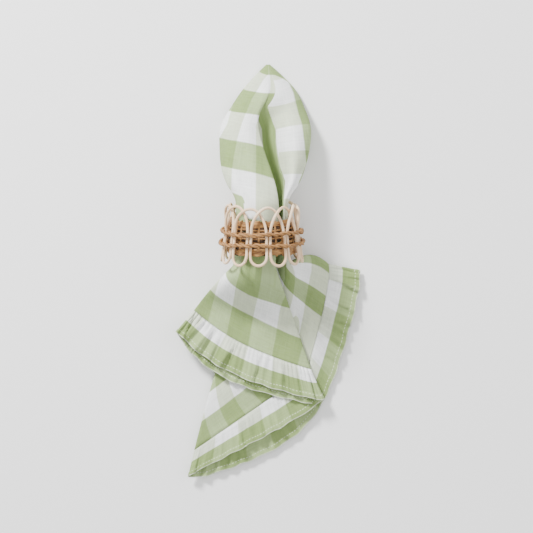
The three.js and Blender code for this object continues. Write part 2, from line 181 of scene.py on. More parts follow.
def rowAt(y):
    # the neck's row at any y, smoothly through the rows of the table
    table = np.array(neckRows)
    ys = table[:, 0]
    slopes = np.gradient(table, ys, axis=0)
    i = int(np.clip(np.searchsorted(-ys, -y) - 1, 0, len(ys) - 2))
    step = ys[i + 1] - ys[i]
    t = (y - ys[i]) / step
    value = ((2 * t**3 - 3 * t**2 + 1) * table[i] + (t**3 - 2 * t**2 + t) * step * slopes[i]
             + (3 * t**2 - 2 * t**3) * table[i + 1] + (t**3 - t**2) * step * slopes[i + 1])
    value[0] = y
    return dict(zip(rowColumns, value))


def plainKnot(row, share):
    # upper leaf: one hollow fold, its front from left to right, then its back
    angle = 2 * math.pi * share
    half = (row["right"] - row["left"]) / 2
    crest = row["topL"] if share < 0.25 else row["topR"]
    skin = 1.2
    top = crest - row["floor"] - skin if share < 0.5 else skin
    return ((row["left"] + row["right"]) / 2 - half * math.cos(angle),
            row["floor"] + skin + top * math.sin(angle))


def foldedLayer(row, layer):
    # four places across one layer of the folded section, as shares of its widths and heights
    # and a few millimetres from the outlines
    left, right, fold, tuck = row["left"], row["right"], row["fold"], row["tuck"]
    valley, pleat, low = row["valley"], row["pleat"], row["floor"]
    wide = fold - left
    wall = right - valley
    under = row["foldZ"] - 3
    side = mix(low, row["topL"], 0.55)
    if layer["name"] == "hidden":
        run = layer["run"]
        z = low + cloth["hiddenStep"] * (cloth["hiddenLayers"] + 1 - run)
        lift = 0.22 * (side - low)
        places = [(right - 1.5 - 0.4 * (run // 2), z + lift), (right - 0.3 * wall, z),
                  (left + 0.4 * wide, z), (left + 3 + 0.4 * run, z + 0.5 * lift)]
        return places if run % 2 else places[::-1]
    return {
        "front": [(left, side), (left + 0.24 * wide, row["topL"]),
                  (left + 0.72 * wide, row["topL"] - 0.5), (fold, row["foldZ"])],
        "under": [(fold - 0.3, under), (fold - 0.35 * tuck, under - 1.4),
                  (fold - 0.7 * tuck, under - 2), (fold - tuck, under - 2.4)],
        "side": [(fold - tuck, mix(row["valleyZ"], under - 2.4, 0.35)), (valley, row["valleyZ"]),
                 (valley + 0.55 * wall, row["topR"]), (right, side - 2)],
        "back": [(right - 0.6, mix(low, side, 0.35)), (right - 0.28 * wall, low),
                 (left + 0.4 * wide, low), (left + 1, mix(low, side, 0.28))],
        "inner": [(left + 2.6, mix(low, side, 0.36)), (left + 0.4 * pleat + 2, low + 5.2),
                  (left + 0.8 * pleat + 1, low + 5.2), (left + pleat + 1, low + 5.8)],
        "second": [(left + pleat + 1, low + 8.4), (left + 0.8 * pleat + 1, low + 9),
                   (left + 0.4 * pleat + 1.6, mix(low + 9, side, 0.5)), (left + 1.4, side - 3)],
    }[layer["name"]]


def pressedIn(x, y, z):
    # inside the ring, what lies outside the free radius is pressed inwards
    share = below(y, cloth["neckOver"])
    axisZ = ringPlaceMm[2] + (y - ringPlaceMm[1]) * math.tan(ringTilt)
    radius = math.hypot(x - ringPlaceMm[0], z - axisZ)
    free = cloth["neckFreeRadius"]
    spare = cloth["neckRadius"] - free
    past = max(radius - free, 0)
    pressed = min(radius, free) + spare * (1 - math.exp(-past / spare))
    scale = mix(1, pressed / max(radius, 0.01), share)
    return ringPlaceMm[0] + (x - ringPlaceMm[0]) * scale, axisZ + (z - axisZ) * scale


def layerChecks(layer, step, y):
    # the place on the square's edge: the pleats shift a little inside the ring
    places = layer["leaf"]
    return mix(through(places, step), through(layer.get("hem", places), step),
               below(y, cloth["shiftOver"]))


def neckKnots(y):
    row = rowAt(y)
    opened = min(max(row["open"], 0), 1)
    knots = []
    for layer in layers:
        folded = np.array(foldedLayer(row, layer))
        first, last = plainSpans[layer["name"]]
        for step in neckSteps:
            along = step * (len(folded) - 1)
            base = min(int(along), len(folded) - 2)
            plain = np.array(plainKnot(row, mix(first, last, step)))
            x, z = mix(plain, mix(folded[base], folded[base + 1], along - base), opened)
            x, z = pressedIn(x, y, z)
            knots.append((x, y, z, layerChecks(layer, step, y)))
    return np.array(knots)


def skirtKnots(mouth, share):
    # share is 0 at the ring's mouth, 1 at the hem; past 1 it is millimetres of the ruffle
    knots = []
    for layer in layers:
        for step in skirtSteps:
            mx, my, mz, _ = mouth[len(knots)]
            hemX, hemY = through(np.array(layer["seam"]), step)
            outX, outY = through(np.array(layer["out"]), step)
            nudgeX, nudgeY = layer.get("nudge", {}).get(skirtSteps.index(step), (0, 0))
            run = min(share, 1)
            past = max(share - 1, 0) * through(layer.get("reach", (1, 1, 1)), step)
            bow = 4 * run * (1 - run) * through(layer["bow"], step)
            x = mix(mx, hemX, run) + nudgeX * run**2 + outX * past
            y = mix(my, hemY, run) + nudgeY * run**2 + outY * past + bow
            near = 1 - smooth(math.hypot(x - ringPlaceMm[0], y - my) / cloth["spreadReach"])
            level = through(layer["level"], step)
            droop = 1 - layer.get("droop", 0) * smooth(past / cloth["ruffleDroop"])
            rest = (cloth["floor"] + cloth["nearLift"] * near
                    + droop * level * (cloth["layerStep"] + cloth["nearStep"] * near))
            settled = smooth(math.hypot(x - mx, y - my) / cloth["settleLength"])
            knots.append((x, y, mix(mz, rest, settled), layerChecks(layer, step, y)))
    return np.array(knots)


def layerNames(index):
    return np.array([layer["name"] for layer in layers])[index // len(neckSteps)]


def sectionSamples(sizes):
    # for each sample its knot and its share of the way to the next
    knots, shares = [], []
    for index in range(knotCount):
        name = layers[index // len(neckSteps)]["name"]
        count = sizes["hiddenSamples" if name == "hidden" else "visibleSamples"]
        for part in range(count):
            knots.append(index)
            shares.append(part / count)
    return np.array(knots), np.array(shares)


def closedSection(knots, places):
    # closed cubic B-spline over the knots; the fourth value runs on round the square
    index, t = places
    turn = np.array([0, 0, 0, 4.0 * cloth["stripes"]])
    ring = np.vstack([knots[-1:] - turn, knots, knots[:2] + turn])
    weights = [(1 - t)**3 / 6, (3 * t**3 - 6 * t**2 + 4) / 6,
               (-3 * t**3 + 3 * t**2 + 3 * t + 1) / 6, t**3 / 6]
    return sum(w[:, None] * ring[index + k] for k, w in enumerate(weights))


def gridNormals(grid):
    along = np.roll(grid, -1, axis=1) - np.roll(grid, 1, axis=1)
    outward = np.gradient(grid, axis=0)
    normals = np.cross(outward, along)
    return normals / np.maximum(np.linalg.norm(normals, axis=2, keepdims=True), 1e-9)


def squareEdge(checks):
    # the point of the square's edge that lies so many checks clockwise from its upper middle
    side = cloth["stripes"]
    half = side / 2
    p = np.mod(checks + half, 4 * side)
    which = np.minimum((p // side).astype(int), 3)
    run = p - which * side - half
    x = np.choose(which, [run, half, -run, -half])
    y = np.choose(which, [half, -run, -half, run])
    return x, y


# Main creases, as soft ridges and troughs: layer, both ends, height and width
creases = [
    ("front", (-15.5, 14), (-9.5, -16), -2.6, 2.6),
    ("front", (-21, 6), (-41, -19), 1.3, 5.5),
    ("front", (-12, -14), (-16, -48), -1.0, 5.0),
    ("front", (-4, 4), (0, -52), 1.2, 5.5),
    ("front", (4, -4), (15, -44), -1.2, 4.5),
    ("front", (8, -12), (26, -62), 1.3, 4.0),
    ("under", (20, -84), (-44, -92), 0.9, 6.0),
    ("under", (10, -92), (-50, -124), -0.8, 5.0),
    ("side", (24, 4), (46, -2), 0.9, 2.5),
    ("side", (20, 0), (44, -30), 1.5, 3.5),
    ("side", (20, -14), (36, -50), 1.0, 3.0),
    ("front", (-27.5, 86), (-17, 54), -3.0, 2.6),
    ("front", (-31, 118), (-29, 80), -0.8, 3.5),
    ("front", (-16, 134), (-10, 72), 0.8, 4.0),
    ("front", (-6, 150), (-1, 76), -0.7, 3.0),
]
creaseSides = 4.0  # how fast a crease grows from the edge of its layer
creasePast = 0.15  # share of its length by which it runs past its ends
creaseFade = 0.35


def besideLine(points, start, end):
    # the share of a line at which each point lies, and its distance beside the line
    way = np.array(end, dtype=float) - start
    length = np.linalg.norm(way)
    off = points[:, :, :2] - start
    return (off @ way) / length**2, (off[:, :, 0] * way[1] - off[:, :, 1] * way[0]) / length


def creaseLift(points, places):
    # height that the creases add at each place of a grid
    index, share = places
    names = layerNames(index)
    inLayer = (index % len(neckSteps) + share) / (len(neckSteps) - 1)
    inside = smooth(creaseSides * inLayer) * smooth(creaseSides * (1 - inLayer))
    lift = 0
    for layer, start, end, height, width in creases:
        t, across = besideLine(points, start, end)
        ends = smooth((t + creasePast) / creaseFade) * smooth((1 + creasePast - t) / creaseFade)
        lift = lift + height * (names == layer) * inside * ends * np.exp(-(across / width)**2)
    return lift


def unevenness(points):
    # slow waves, of lengths that never fall together
    x, y = points[:, :, 0], points[:, :, 1]
    return (np.sin(x / 6.1 + 0.7 * np.sin(y / 9.3)) + np.sin(y / 7.7 + x / 15.0)
            + 0.6 * np.sin((x - y) / 4.3 + 1.1 * np.sin(x / 11.0)))


def smoothAlong(grid, first, last, passes):
    # evens out the run of the cloth from station to station
    for _ in range(passes):
        middle = (grid[first - 1:last - 1] + 2 * grid[first:last] + grid[first + 1:last + 1]) / 4
        grid = np.concatenate([grid[:first], middle, grid[last:]])
    return grid


def linked(name, data):
    # a new object of the scene
    piece = bpy.data.objects.new(name, data)
    bpy.context.scene.collection.objects.link(piece)
    return piece


def meshPiece(name, verts, faces, mapName, corners):
    # a smooth mesh with a UV map, whose places are given for each corner of each face
    mesh = bpy.data.meshes.new(name)
    mesh.from_pydata((verts * mm).tolist(), [], faces)
    layer = mesh.uv_layers.new(name=mapName)
    layer.data.foreach_set("uv", corners.astype(np.float32).ravel())
    mesh.polygons.foreach_set("use_smooth", np.ones(len(mesh.polygons), dtype=bool))
    mesh.update()
    return linked(name, mesh)


def shellMesh(name, grid, thickness, uvs, closedTip):
    # a sheet with both its faces and closed rims; its UV map is the cloth's flat coordinates
    rows, around = grid.shape[:2]
    half = gridNormals(grid) * thickness[:, None, None] / 2
    outer, inner = grid + half, grid - half
    count = rows * around
    verts = np.concatenate([outer.reshape(-1, 3), inner.reshape(-1, 3)])
    flat = np.concatenate([uvs.reshape(-1, 2), uvs.reshape(-1, 2)])
    ring = np.arange(around)
    following = (ring + 1) % around
    down = (np.arange(rows - 1) * around)[:, None]
    a, b, c, d = down + ring, down + following, down + around + following, down + around + ring
    end = (rows - 1) * around
    quads = [np.stack([a, d, c, b], axis=-1), np.stack([a, b, c, d], axis=-1) + count,
             np.stack([end + ring, end + ring + count, end + following + count,
                       end + following], axis=-1)]
    faces = []
    if closedTip:
        middle = [outer[0].mean(axis=0), inner[0].mean(axis=0)]
        verts = np.concatenate([verts, np.array(middle)])
        flat = np.concatenate([flat, np.zeros((2, 2))])
        sides = list(zip(ring.tolist(), following.tolist()))
        faces += [(2 * count, p, q) for p, q in sides]
        faces += [(2 * count + 1, q + count, p + count) for p, q in sides]
    else:
        quads.append(np.stack([ring, following, following + count, ring + count], axis=-1))
    faces = np.concatenate([quad.reshape(-1, 4) for quad in quads]).tolist() + faces
    corners = flat[[corner for face in faces for corner in face]]
    return meshPiece(name, verts, faces, "flatCloth", corners)


# Checks of the leaf, counted from the pinched centre: how far each line of them has run at
# some distances along the napkin, on the left lobe and on the right one
leafChecks = {
    "leftY": [(162, 0), (157, 0.5), (143.4, 1.5), (126, 2.5), (104.9, 3.5), (82.9, 4.5),
              (62.3, 5.5), (40, 6.5)],
    "foldY": [(162, 0), (153, 0.55), (139.5, 1.5), (122.2, 2.5), (97.3, 3.5), (72.3, 4.5),
              (40, 5.9)],
    "capY": [(162, 0), (147.7, 0.5), (137, 1.1), (126, 2.0), (40, 5.9)],
    "innerX": [(162, 0), (145, 0.7), (129, 1.5), (109.1, 2.5), (92.7, 3.5), (76, 4.5), (40, 6.4)],
    "outerX": [(162, 0), (148, 0.7), (134.9, 1.5), (115.4, 2.5), (94.8, 3.5), (76.4, 4.5),
               (40, 6.4)],
    # where single lines run: the first two columns of the left lobe, and the two lines
    # that come down the right one
    "columnOne": [(162, 8), (150, -3), (134.9, -11.9), (115.4, -19.7), (102.9, -23.2),
                  (80.3, -27.1), (40, -28)],
    "columnTwo": [(162, 30), (150, 14), (130, -1), (115, -8.8), (40, -8.8)],
    "lineOne": [(162, 8), (147.3, 16.9), (140.3, 20), (125.5, 23.6), (115.4, 26.6),
                (102.1, 28.3), (84.2, 30), (70, 24), (40, 20)],
    "lineTwo": [(139.5, -1.8), (129, -0.2), (118.9, 3.4), (111.5, 6.3), (102.1, 6.8), (92.7, 8),
                (81.8, 10.1), (70.9, 14), (40, 12)],
    "wallCheck": 10.5,  # width of one check on the steep wall of the valley
    "middleFrom": -17.8,  # right of this and below middleY, the left lobe's checks end early
    "middleY": 70,
    "middleLast": 5.42,
    "valleyCheck": 2.0,  # the walls of the valley stay inside one strong check
    "valleyY": 128,
    "valleyEdge": 1.2,
    "deepLast": 2.9,
    "blend": (26.0, 46.0),  # where the leaf's table takes over from the cloth's own run
}
# The skirt's checks, with lengths in millimetres and places as shares of a layer
skirtChecks = {
    "tipRun": 2.0,  # cloth run at the pinched point itself
    "straighter": 1.5,  # how much straighter than a fan the lines run
    "closer": 0.35,
    "closerOver": (-20, 50),
    "sideFold": 0.4,
    "coveredLast": 3.4,
    "coveredEdge": 0.1,
    "mouthOver": (30, 14),
    "mouthFirst": 7.62,
}


def fromTable(name, values):
    pairs = sorted(leafChecks[name])
    return np.interp(values, [pair[0] for pair in pairs], [pair[1] for pair in pairs])


def fanChecks(points, checks):
    # flat coordinates in checks: the way run from the tip, as a share of the way to the hem
    steps = np.linalg.norm(np.diff(points, axis=0), axis=2)
    travelled = np.vstack([np.zeros((1, steps.shape[1])), np.cumsum(steps, axis=0)])
    travelled = travelled + skirtChecks["tipRun"]
    share = travelled / travelled[-1:]
    edgeX, edgeY = squareEdge(checks)
    corner = np.minimum(np.abs(edgeX), np.abs(edgeY)) / (cloth["stripes"] / 2)
    straighter = share**(1 + skirtChecks["straighter"] * (1 - corner**2))
    upright = np.abs(edgeX) < np.abs(edgeY)
    return (edgeX * np.where(upright, straighter, share),
            edgeY * np.where(upright, share, straighter))


def lobeChecks(x, y, s, u, v):
    # the leaf's visible lobes follow their own table
    valley = leafChecks["valleyCheck"]
    leftY, foldY, capY = (fromTable(name, y) for name in ("leftY", "foldY", "capY"))
    one, two = fromTable("columnOne", y), fromTable("columnTwo", y)
    frontU = 0.5 + (x - one) / (two - one)
    frontV = mix(leftY, foldY, s)
    middle = (x > leafChecks["middleFrom"]) & (y < leafChecks["middleY"])
    frontV = np.where(middle, np.minimum(frontV, leafChecks["middleLast"]), frontV)
    one, two = fromTable("lineOne", y), fromTable("lineTwo", y)
    sideU = mix(fromTable("innerX", y), fromTable("outerX", y), smooth(s))
    sideU = mix(sideU, valley,
                smooth((two - x) / leafChecks["valleyEdge"]) * (y < leafChecks["valleyY"]))
    sideV = (1.5 - np.maximum(x - two, 0) / (one - two)
             + np.maximum(two - x, 0) / leafChecks["wallCheck"])
    sideV = np.minimum(sideV, mix(foldY, capY, smooth(s)))
    deepV = np.minimum(leafChecks["deepLast"], foldY)
    return {"front": (frontU, frontV), "side": (sideU, sideV),
            "under": (mix(frontU, valley, s), mix(foldY, deepV, s)),
            "second": (mix(u, frontU, smooth(s)), mix(v, leftY, smooth(s)))}


def panelChecks(points, checks, places):
    index, part = places
    names = layerNames(index)
    x, y = points[:, :, 0], points[:, :, 1]
    u, v = fanChecks(points, checks)
    s = np.interp(index % len(neckSteps) + part, range(len(neckSteps)), neckSteps)[None, :]
    leaf = lobeChecks(x, y, s, u, v)
    half = cloth["stripes"] / 2
    fold = skirtChecks["sideFold"]
    closer = (names == "under") * smooth(s) + (names == "side") * (1 - smooth(s / fold))
    nearer = half - (half - v) * (1 + skirtChecks["closer"] * closer)
    v = mix(v, nearer, below(y, skirtChecks["closerOver"]))
    # no more lines cross the side flap where it goes under the front one
    covered = (names == "side") * smooth((s - fold) / skirtChecks["coveredEdge"])
    v = mix(v, np.minimum(v, skirtChecks["coveredLast"]), covered)
    # no line of checks crosses the front flap where it leaves the ring
    atMouth = (names == "front") * below(y, skirtChecks["mouthOver"])
    v = mix(v, np.maximum(v, skirtChecks["mouthFirst"]), atMouth)
    low, high = leafChecks["blend"]
    for name, (leafU, leafV) in leaf.items():
        mask = smooth((y - low) / (high - low)) * (names == name)
        u = mix(u, leafU, mask)
        v = mix(v, leafV, mask)
    return np.stack([u, v], axis=2)


def makePanel():
    places = sectionSamples(cloth)
    tipY, mouthY = neckRows[0][0], neckRows[-1][0]
    shares = np.linspace(0, 1, cloth["leafStations"])
    ys = mix(tipY, mouthY, shares**cloth["tipPower"])
    sections = [closedSection(neckKnots(y), places) for y in ys]
    mouth = neckKnots(mouthY)
    for station in range(1, cloth["skirtStations"] + 1):
        knots = skirtKnots(mouth, station / cloth["skirtStations"])
        sections.append(closedSection(knots, places))
    grid = np.array(sections)
    rows = len(grid)
    points = smoothAlong(grid[:, :, :3], 2, rows - 1, cloth["smoothPasses"])
    room = smooth(np.arange(rows) / cloth["tipRoom"])[:, None]
    waves = mix(cloth["leafWaves"], 1, below(points[:, :, 1], cloth["wavesOver"]))
    waves = cloth["waveHeight"] * waves * unevenness(points)
    points[:, :, 2] += room * (creaseLift(points, places) + waves)
    points[:, :, 2] = np.maximum(points[:, :, 2], cloth["thick"] / 2)
    uvs = panelChecks(points, grid[:, :, 3], places)
    piece = shellMesh("gingham_panel", points, np.full(rows, cloth["thick"]), uvs, True)
    return piece, mouth


ruffle = {
    "width": 25.0,
    "stations": [0.1, 1.2, 3, 5.5, 8, 11, 14, 17, 19.6, 20.6, 21.2, 23.6, 24.7, 25.0],
    "hemFrom": 20.9,
    "hemThick": 1.0,
    "visibleSamples": 34,
    "hiddenSamples": 6,
    "blend": 20,  # samples on each side over which one layer's lift turns into the next one's
    "flatLength": 2300.0,
    "held": 0.06,  # share of the width that the seam holds flat on the panel's edge
    "lifts": {"front": 3.1, "under": 2.0, "side": 2.5, "hidden": 0.12, "back": 0.1,
              "inner": 0.8, "second": 1.5},
    # gathers: length along the seam, its waves, how the height swells, and how they turn
    "gather": 8.6,
    "gatherWaves": [(1.5, 13.0, 0), (0.9, 5.9, 1)],
    "gatherSwell": (0.35, 17.0, 1.4, 31.0),
    "gatherTurn": (1.1, 8.3),
    "gatherOpening": (0.12, 0.8),  # share of the height at the seam, and where it is full
    "gatherPower": 1.4,
    "fineHeight": 0.18,
    "fineCount": 2.7,
    # the small tucks that the stitches hold, in the same way
    "tuck": 3.4,
    "tuckWaves": [(1.3, 6.7, 0), (0.8, 3.1, 0)],
    "tuckSwell": (0.45, 9.1, 2.0, 23.0),
    "tuckTurn": (0.9, 4.7),
    "tuckFading": (0.22, 0.1, 0.65),  # share left at the hem, where it fades, and over what
    "tuckPower": 0.7,
    "tuckLift": 2.1,
    "tuckFull": 1.2,  # layers that lift less have weaker tucks
    "edgeWander": 0.45,
    "wanderFull": 0.8,
    "pleatEdge": 0.5,
    "pleatEnds": (0.1, 0.8, 1.6),
    # larger pleats: layer, both ends, lift, reach, and the side that stands up over the other
    "pleats": [
        ("side", (47.5, -3), (70, -14), 3.5, 7, -1),
        ("side", (45.5, -18.6), (67, -30.4), 4.3, 9, -1),
        ("side", (43, -33.4), (62.5, -40), 3.0, 5, -1),
        ("side", (37, -60), (52, -68), 2.2, 5, -1),
        ("front", (-55.8, -29), (-64, -48), 3.2, 6, 1),
        ("front", (-40, -41), (-48, -54), 1.9, 4, 1),
        ("front", (-22.7, -53), (-36, -72), 3.2, 7, 1),
        ("front", (-4.4, -60), (-10, -80), 2.7, 6, 1),
        ("front", (13, -66), (11, -89), 2.2, 5, 1),
        ("front", (31, -73), (35.4, -92), 2.2, 4, 1),
        ("under", (-26, -118), (-15, -139), 3.0, 6, 1),
        ("under", (0, -105), (14, -124), 2.7, 5, 1),
        ("second", (-30, -60), (-37, -82), 1.6, 5, -1),
    ],
}


def drift(along, waves):
    # slow waves, each with its height, length and turn
    return sum(height * np.sin(along / length + turn) for height, length, turn in waves)


def swelling(along, amount, length, bend, bendLength):
    # wanders between 1 and 1 - 2 * amount
    return 1 - amount + amount * np.sin(along / length + bend * np.sin(along / bendLength))


def pleatLift(points, names):
    lift = 0
    before, grown, stop = ruffle["pleatEnds"]
    for layer, start, end, height, reach, raised in ruffle["pleats"]:
        t, beside = besideLine(points, start, end)
        across = raised * beside
        edge = smooth(across / ruffle["pleatEdge"] + 0.5)
        ends = smooth((t + before) / grown) * (t < stop)
        fading = np.exp(-np.maximum(across, 0) / reach)
        lift = lift + height * (names == layer) * ends * edge * fading
    return lift


def makeRuffle(mouth):
    places = sectionSamples(ruffle)
    names = layerNames(places[0])
    grid = np.array([closedSection(skirtKnots(mouth, 1 + past), places)[:, :3]
                     for past in ruffle["stations"]])
    steps = np.linalg.norm(np.roll(grid[0], -1, axis=0) - grid[0], axis=1)
    along = np.concatenate([[0], np.cumsum(steps)[:-1]])
    across = np.array(ruffle["stations"])[:, None] / ruffle["width"]
    rise = smooth(across / ruffle["held"])
    lifts = np.array([ruffle["lifts"][name] for name in names])
    near = ruffle["blend"]
    blur = np.ones(2 * near + 1) / (2 * near + 1)
    lifts = np.convolve(np.r_[lifts[-near:], lifts, lifts[:near]], blur, mode="valid")
    # gathers of uneven length and height, tight at the seam and open at the hem
    phase = 2 * math.pi * along / ruffle["gather"] + drift(along, ruffle["gatherWaves"])
    turn, length = ruffle["gatherTurn"]
    turned = phase + turn * across * np.sin(along / length)
    tight, full = ruffle["gatherOpening"]
    opening = mix(tight, 1, smooth(across / full)) * rise
    wave = (0.5 + 0.5 * np.sin(turned))**ruffle["gatherPower"]
    fine = 0.5 + 0.5 * np.sin(ruffle["fineCount"] * turned + 1)
    slow = swelling(along, *ruffle["gatherSwell"])
    grid[:, :, 2] += lifts * opening * (slow * wave + ruffle["fineHeight"] * fine)
    # small tucks with round backs and sharp valleys, fading towards the hem
    turn, length = ruffle["tuckTurn"]
    turned = math.pi * along / ruffle["tuck"] + drift(along, ruffle["tuckWaves"])
    turned = turned + turn * across * np.sin(along / length)
    left, first, fading = ruffle["tuckFading"]
    held = mix(1, left, smooth((across - first) / fading)) * rise
    strength = swelling(along, *ruffle["tuckSwell"]) * smooth(lifts / ruffle["tuckFull"])
    tucks = np.abs(np.sin(turned))**ruffle["tuckPower"]
    grid[:, :, 2] += ruffle["tuckLift"] * strength * held * tucks
    # the hem's edge wanders with every second gather
    outward = grid[-1] - grid[0]
    outward = outward / np.maximum(np.linalg.norm(outward, axis=1, keepdims=True), 1e-6)
    wander = ruffle["edgeWander"] * np.sin(phase / 2 + 0.7) * smooth(lifts / ruffle["wanderFull"])
    grid += (across**2 * wander)[:, :, None] * outward
    grid[:, :, 2] += pleatLift(grid, names)
    thickness = np.where(np.array(ruffle["stations"]) > ruffle["hemFrom"],
                         ruffle["hemThick"], cloth["thick"])
    grid[:, :, 2] = np.maximum(grid[:, :, 2], thickness[:, None] / 2)
    stripe = cloth["flatSide"] / cloth["stripes"]
    # more cloth than seam: the strip was longer before it was gathered
    fullness = ruffle["flatLength"] / (along[-1] + steps[-1])
    uvs = np.stack(np.broadcast_arrays(along * fullness / stripe, across), axis=2)
    return shellMesh("gathered_ruffle", grid, thickness, uvs, False)


print("cloth: panel")
panel, mouthKnots = makePanel()
print("cloth: ruffle")
ruffleStrip = makeRuffle(mouthKnots)


ring = {
    "loops": 12,
    "rodRadius": 1.1,
    "leafEnd": (22.5, 25.4),  # place along the axis, and the radius there
    "skirtEnd": (-21.3, 31.2),
    "risingOut": 2.3,
    "fallingIn": 0.8,
    "archSpring": 2.0,
    "bendSpring": -14.0,
    "legSpread": 5.8,
    "firstPair": 10.0,
    "rodSteps": 72,  # for each loop
    "rodWaves": [(0.05, 9.0, 0), (0.04, 3.7, 1)],
    "nodeHeight": 0.16,
    "nodeEvery": 173.0,
    "nodeFirst": 46.0,
    "nodeWide": 1.6,
    "archWander": (0.7, 2.3, 0.4),  # its height, its turn from loop to loop, and the first one
    "archPoints": 10,
    "bendPoints": 6,
    "band": (-14.3, 12.6),
    # place along the axis and half width of each weaver, outer and inner
    "outerWeavers": [(-11.3, 2.5), (-7.3, 0.65), (-4.3, 0.9), (-1.1, 0.6), (2.3, 0.95),
                     (5.4, 0.65), (9.8, 2.4)],
    # the inner weavers are a dark back row behind the outer ones; their darkness is painted shade
    # for the shadow inside the sleeve
    "innerWeavers": [(-12.0, 1.9), (-8.5, 2.1), (-5.0, 2.1), (-1.5, 2.1), (2.0, 2.1),
                     (5.5, 2.1), (9.0, 2.1)],
    "innerStep": 0.6,
    "weaves": {"inner": 0.12, "outer": 0.4},  # how far a weaver goes in and out
    "weaverThick": 0.5,
    "weaverSteps": 360,
    "weaverWaves": [(0.4, 3, 1.9), (0.25, 11, 2.7)],  # height, count, and turn for each weaver
    "weaverWidths": [(0.16, 5, 3.1), (0.12, 13, 1.3)],
    "bandGap": 1.1,  # between the rod's legs and the weavers' middle line
    "stakes": 24,
    "stakeHalf": (0.25, 0.5),
    "stakeAside": 0.7,
    "stakeSteps": 14,
    "stakeWander": (2.0, 1.7),
    # sides of a section and how round it is: 1 for an ellipse, less for a flat strip
    "rodSection": (12, 1),
    "flatSection": (10, 0.6),
    "roundSection": (8, 1),
    "cords": {"upper": (2.5, 0.0), "lower": (-6.0, 2.2)},  # place along the axis, and first turn
    "plyRadius": 0.95,
    "plyTwists": 17,
    "cordWaves": [(0.55, 3, 1), (0.35, 12, 1)],
    "plyOut": 0.8,
    "plyLonger": 1.4,  # than the ring is round
    "cordSteps": 560,
    "plyShare": 0.86,  # of the ply's radius, between the cord's middle line and the ply's
    "cordGap": 0.35,
    "cordPull": 0.45,
}


def ringRadius(axial):
    (a0, r0), (a1, r1) = ring["skirtEnd"], ring["leafEnd"]
    return mix(r0, r1, (axial - a0) / (a1 - a0))


def onRing(degrees, axial, out):
    # place by the angle from the top of the ring, tilted and moved to where the ring lies
    angle = np.radians(degrees)
    radius = ringRadius(axial) + out
    x = radius * np.sin(angle)
    y = axial + 0 * angle
    z = radius * np.cos(angle)
    cx, cy, cz = ringPlaceMm
    c, s = math.cos(ringTilt), math.sin(ringTilt)
    return np.stack([cx + x, cy + y * c - z * s, cz + y * s + z * c], axis=-1)


def closedCurve(points, count):
    # a smooth closed curve through the points, with even steps
    n = len(points)
    fine = 24  # places from one point to the next
    place = np.arange(n * fine) / fine
    i, t = place.astype(int), (place % 1)[:, None]
    p = [points[(i + k) % n] for k in (-1, 0, 1, 2)]
    dense = 0.5 * (2 * p[1] + (p[2] - p[0]) * t + (2 * p[0] - 5 * p[1] + 4 * p[2] - p[3]) * t**2
                   + (3 * p[1] - p[0] - 3 * p[2] + p[3]) * t**3)
    steps = np.linalg.norm(np.roll(dense, -1, axis=0) - dense, axis=1)
    run = np.concatenate([[0], np.cumsum(steps)])
    wanted = np.linspace(0, run[-1], count, endpoint=False)
    loop = np.vstack([dense, dense[:1]])
    return np.stack([np.interp(wanted, run, loop[:, k]) for k in range(3)], axis=1), run[-1]


def tubeMesh(name, tubes):
    # closed loops of tube joined in one mesh: each has its path, its section's two half
    # widths, the first one away from the ring's axis, its length, and its kind of section
    verts, faces, flat = [], [], []
    start = 0
    for number, (path, wide, length, sides, roundness) in enumerate(tubes):
        angle = 2 * math.pi * np.arange(sides) / sides
        ca, sa = (np.sign(part) * np.abs(part)**roundness
                  for part in (np.cos(angle), np.sin(angle)))
        tangent = np.roll(path, -1, axis=0) - np.roll(path, 1, axis=0)
        tangent /= np.linalg.norm(tangent, axis=1, keepdims=True)
        side = ringOutwards(path)
        first = side - (side * tangent).sum(axis=1, keepdims=True) * tangent
        first /= np.linalg.norm(first, axis=1, keepdims=True)
        second = np.cross(tangent, first)
        count = len(path)
        halves = np.broadcast_to(np.asarray(wide, dtype=float), (count, 2))
        loops = (path[:, None, :] + first[:, None, :] * (halves[:, :1] * ca)[:, :, None]
                 + second[:, None, :] * (halves[:, 1:] * sa)[:, :, None])
        verts.append(loops.reshape(-1, 3))
        i, j = np.meshgrid(np.arange(count), np.arange(sides), indexing="ij")
        ni, nj = (i + 1) % count, (j + 1) % sides
        quad = np.stack([i * sides + j, i * sides + nj, ni * sides + nj, ni * sides + j], axis=-1)
        faces.append(quad.reshape(-1, 4) + start)
        start += count * sides
        along = (i[:, :, None] + [0, 0, 1, 1]) * length / count
        around = (j[:, :, None] + [0, 1, 1, 0]) / sides + number
        flat.append(np.stack([along, around], axis=-1).reshape(-1, 2))
    return meshPiece(name, np.concatenate(verts), np.concatenate(faces).tolist(),
                     "alongStrand", np.concatenate(flat))


def ringOutwards(path):
    # direction away from the ring's axis at each point of a path
    off = path - np.array(ringPlaceMm)
    axis = np.array([0, math.cos(ringTilt), math.sin(ringTilt)])
    out = off - (off @ axis)[:, None] * axis
    return out / np.linalg.norm(out, axis=1, keepdims=True)


